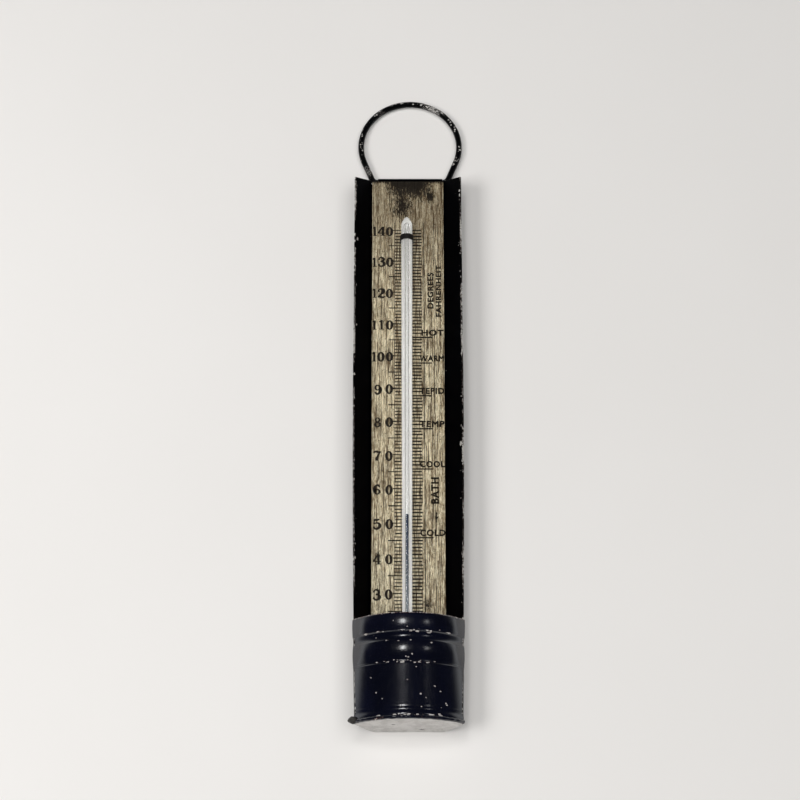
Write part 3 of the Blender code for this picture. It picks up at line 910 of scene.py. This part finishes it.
def make_degree_marks():
    """Degree marks on both sides of the tube, lines down their ends, and an arrow."""
    luck = random.Random(11)
    worded = {degrees for _, degrees in WORDS}
    outlines = []
    for degrees in range(24, 141):
        y = degree_y(degrees)
        tall = degrees % 5 == 0
        start = FIVES_X if tall and degrees % 10 else LADDER_LEFT[0] - (TEN_EXTRA if tall else 0.0)
        width = luck.uniform(0.46, 0.64)
        outlines.append(bar(start + luck.uniform(-0.2, 0.2), LADDER_LEFT[1], y, width))
        end = WORD_LINE_X if degrees in worded else LADDER_RIGHT[1]
        drop = 0.35 if degrees in worded else 0.0
        y_right = y - drop + luck.uniform(-0.08, 0.08)
        end += luck.uniform(-0.3, 0.2)
        outlines.append(bar(LADDER_RIGHT[0], end, y_right, luck.uniform(0.56, 0.78)))
    stamp("degree_marks", outlines)
    lines = []
    for x, width in ((LADDER_LEFT[0] - 0.25, 0.2), (LADDER_RIGHT[1] + 0.9, 0.34), (12.0, 0.18)):
        lines.append(block(x, x + width, PLATE_LOW.y + 1, MARK_140_Y + 4.0))
    stamp("scribed_lines", lines)
    x, y = 12.6, degree_y(51.5)
    shaft = [(x - 0.25, y - 2.2), (x + 0.25, y - 2.2), (x + 0.3, y + 2.6), (x - 0.3, y + 2.6)]
    point = [(x - 0.9, y + 0.9), (x, y - 1.4), (x + 0.9, y + 0.9), (x, y + 0.4)]
    stamp("arrow_mark", [shaft, point])


LETTER_SPREAD = 0.042  # as a share of the letters' size


def thicken(mesh, amount):
    """Moves the outline of flat letters outwards."""
    bm = bmesh.new()
    bm.from_mesh(mesh)
    bmesh.ops.remove_doubles(bm, verts=bm.verts, dist=1e-6)
    outward = {}
    for edge in bm.edges:
        if len(edge.link_faces) == 1:
            start = edge.verts[0].co
            along = edge.verts[1].co - start
            side = Vector((along.y, -along.x, 0.0)).normalized()
            if side.dot(edge.link_faces[0].calc_center_median() - start) > 0:
                side = -side
            for v in edge.verts:
                outward.setdefault(v, []).append(side)
    for v, sides in outward.items():
        if len(sides) == 2:
            v.co += (sides[0] + sides[1]) * amount / max(1 + sides[0].dot(sides[1]), 0.4)
    bm.to_mesh(mesh)
    bm.free()


def lettering(text, height, width, place, upright=True):
    """A word of plain capitals, fitted to a height and a width; place is its lower left corner."""
    curve = bpy.data.curves.new(text, "FONT")
    curve.body = text
    curve.space_character = 1.12
    curve.resolution_u = 8
    obj = bpy.data.objects.new(text, curve)
    bpy.context.scene.collection.objects.link(obj)
    bpy.context.view_layer.update()
    mesh = bpy.data.meshes.new_from_object(obj.evaluated_get(bpy.context.evaluated_depsgraph_get()))
    bpy.data.objects.remove(obj)
    thicken(mesh, LETTER_SPREAD)
    columns, lines = [v.co.x for v in mesh.vertices], [v.co.y for v in mesh.vertices]
    left, right, foot, top = min(columns), max(columns), min(lines), max(lines)
    for v in mesh.vertices:
        x = (v.co.x - left) / (right - left) * width
        y = (v.co.y - foot) / (top - foot) * height
        if not upright:
            x, y = -y, x
        v.co = at(place[0] + x, place[1] + y, SCALE_Z + MARK_HEIGHT)
    return mesh


WORD_START_X, WORD_END_X, WORD_HEIGHT = 5.2, 16.4, 3.1
# Words up the side: text, height, length, the x of their foot line and the degree they start at
SIDE_WORDS = (
    ("BATH", 3.6, 12.6, 13.7, 55.6),
    ("DEGREES", 2.8, 18.5, 11.8, 114.8),
    ("FAHRENHEIT", 2.6, 26.5, 15.4, 112.2),
)


def make_words():
    """The bath words over their long marks, BATH up the side, and the scale's unit."""
    meshes = []
    for text, degrees in WORDS:
        start = WORD_START_X + (0.9 if text == "HOT" else 0.0)
        meshes.append(lettering(text, WORD_HEIGHT, WORD_END_X - start, (start, degree_y(degrees) + 0.4)))
    for text, height, length, x, degrees in SIDE_WORDS:
        meshes.append(lettering(text, height, length, (x, degree_y(degrees)), upright=False))
    bm = bmesh.new()
    for mesh in meshes:
        bm.from_mesh(mesh)
        bpy.data.meshes.remove(mesh)
    bmesh.ops.remove_doubles(bm, verts=bm.verts, dist=1e-7)
    words = new_piece("bath_words", bm, INK)
    solid = words.modifiers.new("depth", "SOLIDIFY")
    solid.thickness = 0.18 * MM
    solid.offset = -1.0
    stand_for(words, "old_brass")


# ---- the tube


TIP_LENGTH = 5.0
TIP_Y = STEM_HIGH.y - 0.3
GLASS_WALL = 0.6
BORE_R = 0.78


def stem_radius(y):
    """The stem's outer radius: a long slight taper, and a tip drawn out to a blunt point."""
    up = (y - STEM_LOW.y) / (STEM_HIGH.y - TIP_LENGTH - STEM_LOW.y)
    tip = min(max((TIP_Y - y) / TIP_LENGTH, 0.0), 1.0)
    radius = TUBE_FOOT_R + (TUBE_TOP_R - TUBE_FOOT_R) * min(up, 1.0)
    return radius * math.sin(math.pi / 2 * tip**1.05)


def make_tube():
    """The stem with its bore, the white strip behind the bore, and the bulb."""
    heights = [TIP_Y - TIP_LENGTH * t * t for t in between(0.0, 1.0, 18)]
    heights += between(TIP_Y - TIP_LENGTH, STEM_LOW.y, 60)[1:]
    outside = [(stem_radius(y), y) for y in heights]
    bore_top = TIP_Y - 4.6
    bore = [(BORE_R, STEM_LOW.y), (BORE_R, bore_top), (BORE_R * 0.6, bore_top + 0.5), (0.0, bore_top + 0.7)]
    stand_for(turned("glass_tube", outside + bore, GLASS, steps=64, angle=60), "clear_glass", "glass_stem")

    rows = []
    low, high = math.radians(174), math.radians(366)
    heights = between(STEM_LOW.y + 0.4, TIP_Y - TIP_LENGTH, 80)
    heights += between(TIP_Y - TIP_LENGTH, TIP_Y - 0.9, 24)[1:]
    for y in heights:
        rows.append([(x, y, z) for x, z in arc((TUBE_X, TUBE_Z), stem_radius(y) * 0.9, low, high, 28)])
    stand_for(sheet("opal_backing", rows, 0.25, OPAL, angle=60), "opal_glass", "opal_strip")

    neck = BULB_HIGH.y
    bulb_r = (BULB_HIGH.x - BULB_LOW.x) / 2
    foot = BULB_LOW.y
    swell = [(TUBE_FOOT_R, neck), (TUBE_FOOT_R, neck - 1.2)]
    for t in between(0.0, 1.0, 12):
        swell.append((TUBE_FOOT_R + (bulb_r - TUBE_FOOT_R) * smoothstep(t), neck - 1.6 - 7.0 * t))
    end = arc((0.0, foot + bulb_r), bulb_r, 0.0, -math.pi / 2, 12)[:-1]
    outer = swell + end + [(0.0, foot)]
    inner = [(0.0, foot + GLASS_WALL)]
    for r, y in reversed(outer[1:-1]):
        inner.append((max(r - GLASS_WALL, BORE_R), y + (GLASS_WALL if y < foot + 4 else 0.0)))
    inner.append((BORE_R, neck))
    bulb = turned("bulb_glass", outer + inner, GLASS, closed=True, angle=60)
    stand_for(bulb, "clear_glass", "glass_bulb")


THREAD_R = 0.64
THREAD_FOOT_Y = -112.0  # it starts inside the bulb's mercury, which leaves it length to shrink


def make_mercury():
    """The thread stretches from the bulb to its head, which rides on the mercury's level."""
    thread_foot, thread_top = THREAD_FOOT_Y, THREAD_TOP_Y
    heights = between(thread_top + 0.25, thread_foot, 120)
    profile = [(0.0, heights[0])] + [(THREAD_R, y) for y in heights] + [(0.0, heights[-1])]
    thread = turned("mercury_column", profile, MERCURY, steps=24, angle=50)
    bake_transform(thread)
    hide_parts("mercury_thread")

    profile = arc((0.0, READING_Y - THREAD_R), THREAD_R, math.pi / 2, 0.0, 8)
    profile += [(THREAD_R, HEAD_LOW.y), (0.0, HEAD_LOW.y)]
    head = turned("mercury_top", profile, MERCURY, steps=24, angle=50)
    stand_for(head, "mercury", "mercury_head", body="mercury")
    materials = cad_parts["bulb_mercury"].data.materials
    materials.clear()
    materials.append(MERCURY)


STRAP_WIDENING = 1.4


def make_strap(name, node):
    """A blackened strap over the tube and down through the scale, with its ends folded out behind."""
    low, high = box_mm(node)
    y_middle = centre_of(low.y, high.y)
    half_width = (high.y - low.y) / 2 * STRAP_WIDENING
    radius = high.z - TUBE_Z
    over = arc((TUBE_X, TUBE_Z), radius, math.pi, 0.0, 40)
    left, right = TUBE_X - radius, TUBE_X + radius
    tab_z = PLATE_LOW.z - 0.3
    path = [(low.x, tab_z), (left - 0.4, tab_z), (left, tab_z + 0.4), *over, (right, tab_z + 0.4)]
    path += [(right + 0.4, tab_z), (high.x, tab_z)]
    rows = []
    for across in between(-1.0, 1.0, 8):
        crown = 0.12 * (1 - across**2) - 0.12
        row = []
        for x, z in path:
            out = Vector((x - TUBE_X, z - TUBE_Z)).normalized() * (crown if z > TUBE_Z - 0.1 else 0.0)
            row.append((x + out.x, y_middle + across * half_width, z + out.y))
        rows.append(row)
    stand_for(sheet(name, rows, 0.38, BLACK_IRON), "blackened_strap", node)


# ---- the cup


def cup_offset(y):
    """How far the cup's front stands out from its plain wall, over its ridges, crease and flared foot."""
    if y >= COLLAR_Y:
        t = (y - COLLAR_Y) / (CUP_RIM_Y - COLLAR_Y)
        return 0.35 + 0.4 * math.sin(math.pi * min(t * 1.02, 1.0)) - 0.15 * smoothstep((t - 0.93) / 0.07)
    if y >= BEAD_Y:
        t = (y - BEAD_Y) / (COLLAR_Y - BEAD_Y)
        lip = 0.34 * smoothstep((t - 0.88) / 0.12)
        return 0.1 + lip - 0.6 * math.sin(math.pi * t) ** 0.8
    if y >= WALL_Y:
        t = (y - WALL_Y) / (BEAD_Y - WALL_Y)
        lip = 0.3 * bell(t / 0.05)
        return 0.05 + lip + 0.7 * math.sin(math.pi * t) ** 0.9
    crease = 0.1 * bell((y - CREASE_Y) / 0.35)
    step = 0.35 * smoothstep((y - WALL_Y + 0.5) / 0.5)
    return step + crease + 0.55 * smoothstep((CREASE_Y - 0.8 - y) / 2.6)


def cup_arch(y, offset, steps):
    """The cup's arched front at y, from the left flank's tip to the right one, as (x, z) points."""
    down = min(max((BEAD_Y - y) / (BEAD_Y - FOOT_Y), 0.0), 1.0)
    rise = CUP_TOP_Z + (CUP_FOOT_Z - CUP_TOP_Z) * down - CUP_EDGE_Z
    half = flank_half(y) + 0.3
    radius = (half**2 + rise**2) / (2 * rise)
    lean = math.asin(half / radius)
    centre_z = CUP_EDGE_Z + rise - radius
    points = []
    for turn in between(-1.0, 1.0, steps):
        out = radius + offset * (0.4 + 0.6 * smoothstep((1 - abs(turn)) / 0.3))
        points.append((out * math.sin(turn * lean), centre_z + out * math.cos(turn * lean)))
    return points


def cup_dent(x, y):
    """Shallow dents in the thin sheet."""
    return 0.045 * wave(x * 0.08, y * 0.07, 0.0) + 0.008 * wave(x * 0.3, y * 0.3, 4.0)


# Chips along the cup's ridges: how high, how many, how large
CHIP_LINES = (
    (CUP_RIM_Y, 4, 0.2),
    (COLLAR_Y, 17, 0.4),
    (BEAD_Y - 0.4, 4, 0.25),
    (WALL_Y, 18, 0.36),
    (CREASE_Y, 4, 0.3),
    (FOOT_Y + 1.0, 26, 0.45),
)
LOOSE_CHIPS = 20


def chip_spots():
    """Chips on the cup as (x, y, size, length): along its ridges, thickest near the middle, and loose."""
    luck = random.Random(23)
    spots = []
    for line, count, size in CHIP_LINES:
        for _ in range(count):
            x, y = luck.gauss(1.0, 9.0), line + luck.gauss(0.0, 0.3)
            spots.append((x, y, size * luck.uniform(0.35, 1.0), luck.uniform(1.2, 3.5)))
    for _ in range(LOOSE_CHIPS):
        x, y = luck.uniform(-19, 17), luck.uniform(FOOT_Y + 6, CUP_RIM_Y - 3)
        spots.append((x, y, luck.uniform(0.16, 0.42), luck.uniform(0.7, 1.4)))
    return spots


# Ridges whose paint has worn through: how high, how much, half how wide
WORN_LINES = ((CUP_RIM_Y, 0.76, 0.75), (COLLAR_Y, 0.5, 0.45), (WALL_Y, 0.5, 0.45), (FOOT_Y + 0.4, 0.62, 0.45))


CUP_COLUMNS = 170


def make_cup():
    """The cup's arched front sheet."""
    heights = between(FOOT_Y, CREASE_Y + 1.0, 22)[:-1] + between(CREASE_Y + 1.0, WALL_Y - 0.6, 60)[:-1]
    heights += between(WALL_Y - 0.6, CUP_RIM_Y, 110)
    rows = []
    for y in heights:
        arch = cup_arch(y, cup_offset(y), CUP_COLUMNS)
        rows.append([(x, y, z + cup_dent(x, y) * (z - CUP_EDGE_Z) / 10) for x, z in arch])
    cup = sheet("cup_sheet", rows, TIN, CUP_PAINT)
    spots = chip_spots()

    def wear(x, y, z):
        value = 0.0
        for line, strength, half in WORN_LINES:
            value = max(value, strength * bell((y - line) / half))
        for spot_x, spot_y, size, long in spots:
            distance = math.hypot((x - spot_x) / long, y - spot_y) / size
            if distance < CHIP_REACH:
                value = max(value, flaked(distance * (1 + 0.5 * wave(x * 1.7, y * 1.7, 2.0))))
        return value

    paint(cup, "wear", wear)
    stand_for(cup, "japanned_tin", "cup_front")


def make_base():
    """The grey base plate, slightly dished, and the folded seam round its arched edge."""
    half = flank_half(FOOT_Y) + 0.1
    arch = cup_arch(FOOT_Y, 0.45, 240)
    columns = []
    for x in between(-half, half, 90):
        low_z = (max(abs(x) - BACK_HALF, 0.0) / (half - BACK_HALF)) ** 1.35 * CUP_EDGE_Z
        high_z = min((abs(px - x), pz) for px, pz in arch)[1]
        column = []
        for z in between(low_z, high_z, 36):
            edge = min(half - abs(x), z - low_z, high_z - z)
            hollow = 0.3 * smoothstep(edge / 2.5) + 0.08 * wave(x * 0.15, z * 0.15, 0)
            column.append((x, BASE_FACE_Y + max(hollow, 0.0), z))
        columns.append(column)
    base = sheet("tin_base", columns, 0.5, DULL_TIN, flip=True)

    def marks(x, y, z):
        left = bell((x + 6.5) / 1.6, (z - 12.0) / 0.7)
        right = bell((x - 5.5) / 1.7, (z - 3.5) / 0.8)
        rim = math.exp(-min(half - abs(x), 30.0) / 0.8)
        return max(left, right, 0.8 * rim)

    paint(base, "stain", marks)
    stand_for(base, "bare_tin", "base_plate")

    bead = cup_arch(FOOT_Y, 0.5, 120)
    path = [(x, FOOT_Y + 0.12 + 0.1 * wave(x * 0.4, 0, 0), z) for x, z in bead]
    radii = [0.86 * (1 + 0.16 * wave(x * 0.5, 2.0, z)) for x, _, z in path]
    seam = tube_along("base_fold", path, radii, CUP_PAINT, sides=18)
    paint(seam, "wear", lambda x, y, z: 0.42 + 0.35 * wave(x * 0.25, y, z * 0.3))
    stand_for(seam, "japanned_tin", "base_seam")


def make_solder():
    """The lump at the base's corner, the runs in the cup's joints and the tacks under the scale."""
    centre = centre_of(*box_mm("base_solder_lump")) + Vector((1.2, 0.4, 0.4))
    lump = blob("corner_solder", centre, (2.3, 1.5, 2.1), BLACKENED_SOLDER, seed=2.0)
    stand_for(lump, "solder", "base_solder_lump")
    for node in ("cup_solder_left", "cup_solder_right"):
        low, high = box_mm(node)
        side = math.copysign(1.0, low.x)
        path = [(side * (flank_half(y) - 1.15), y, FLANK_Z + 0.05) for y in between(low.y, high.y, 60)]
        radii = [0.5 * (1 + 0.35 * wave(0, p[1] * 0.4, side)) for p in path]
        stand_for(tube_along(node + "_run", path, radii, SOLDER, sides=12), "solder", node)
    for number, node in enumerate(sorted(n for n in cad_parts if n.startswith("scale_tack"))):
        low, high = box_mm(node)
        tack = blob(node + "_lump", centre_of(low, high), (high - low) / 2, SOLDER, float(number), detail=3)
        stand_for(tack, "solder", node)


# ---- table, light and camera


TABLE_HALF = 3.0
TABLE_GAP = 0.00005


def make_table():
    """A wide pale table top, a hair below the thermometer."""
    bm = bmesh.new()
    lines = between(-TABLE_HALF, TABLE_HALF, 8)
    weave(bm, [[bm.verts.new((x, y, 0.0)) for x in lines] for y in lines])
    n = Nodes("pale_table")
    cloud = n.noise((0.004, 0.004, 0.004), detail=3.0)
    colour = n.mix(n.ramp(cloud, 0.3, 0.7), (0.835, 0.812, 0.785), (0.855, 0.832, 0.806))
    table = new_piece("table_top", bm, n.finish(Base_Color=colour, Roughness=0.6, Specular_IOR_Level=0.2))
    table.location.z = CAD_BOUNDS[0][2] - TABLE_GAP


def make_world():
    """A room that is bright low round its walls and dim overhead."""
    n = Nodes("pale_room", "worlds")
    bpy.context.scene.world = n.owner
    sky = n.tree.nodes["Background"].inputs
    n.put(sky["Color"], (0.98, 1.0, 1.0))
    n.put(sky["Strength"], n.ramp(n.split(n.coordinates["Generated"])["Z"], -0.05, 0.32, 1.3, 0.02))


def area_light(name, place, size, power, glossy=True):
    """A rectangular light that faces the thermometer; glossy says whether the gloss mirrors it."""
    light = bpy.data.lights.new(name, "AREA")
    light.shape = "RECTANGLE"
    light.size, light.size_y = size
    light.energy = power
    obj = bpy.data.objects.new(name, light)
    obj.location = place
    obj.rotation_euler = (-Vector((0.0, *place[1:]))).to_track_quat("-Z", "Y").to_euler()
    obj.visible_glossy = glossy
    obj.visible_transmission = not glossy
    bpy.context.scene.collection.objects.link(obj)


VIEW_TILT = math.radians(23.0)
VIEW_DISTANCE = 0.977
VIEW_CENTRE = (-0.0037, 0.0193, 0.004)
LENS = 96.75


def make_camera():
    camera = bpy.data.cameras.new("camera")
    camera.lens = LENS
    camera.sensor_width = 36.0
    camera.clip_start = 0.01
    obj = bpy.data.objects.new("camera", camera)
    away = Vector((0.0, -math.sin(VIEW_TILT), math.cos(VIEW_TILT)))
    obj.location = Vector(VIEW_CENTRE) + away * VIEW_DISTANCE
    obj.rotation_euler = (VIEW_TILT, 0.0, 0.0)
    bpy.context.scene.collection.objects.link(obj)
    bpy.context.scene.camera = obj


make_trough()
make_sleeve()
make_ring()
make_plate()
make_degree_marks()
make_numerals()
make_words()
make_tube()
make_mercury()
make_strap("strap_upper", "upper_strap")
make_strap("strap_lower", "lower_strap")
make_cup()
make_base()
make_solder()
make_table()
make_world()
area_light("window", (-0.95, -0.3, 1.05), (0.7, 0.8), 12.4, glossy=False)
area_light("ceiling", (0.3, -0.3, 1.65), (1.8, 1.8), 19.5, glossy=False)
area_light("long_lamp", (-0.24, 0.36, 1.5), (0.15, 0.32), 2.1)
area_light("far_lamp", (0.74, 0.34, 1.35), (0.09, 0.26), 0.36)
make_camera()
bpy.context.scene.view_settings.view_transform = "Standard"
